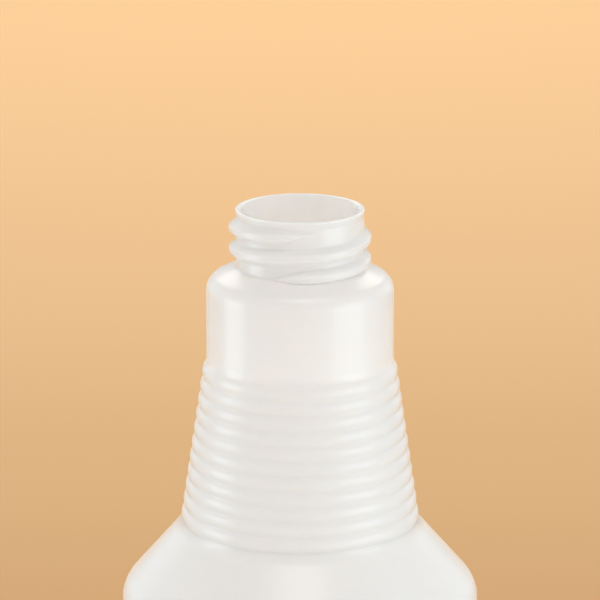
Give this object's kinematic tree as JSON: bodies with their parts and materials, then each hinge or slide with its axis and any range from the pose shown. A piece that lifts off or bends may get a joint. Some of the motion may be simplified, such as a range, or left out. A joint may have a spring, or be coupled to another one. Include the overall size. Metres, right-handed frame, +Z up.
{
  "type": "squeeze bottle",
  "caption": "Open squeeze bottle with a threaded round neck, a plain collar, a ribbed conical grip and a plain cylindrical body on a pushed-up base.",
  "frame": {"origin": "centre of the base, in the plane of the standing ring", "axes": "+Z up the bottle's axis towards the mouth, -Y towards the side where the thread starts, +X to that side's right"},
  "size_m": [0.07, 0.07, 0.188],
  "materials": {
    "bottle": "natural white translucent HDPE, satin"
  },
  "bodies": {
    "root": {"bottle": "bottle"}
  },
  "joints": []
}
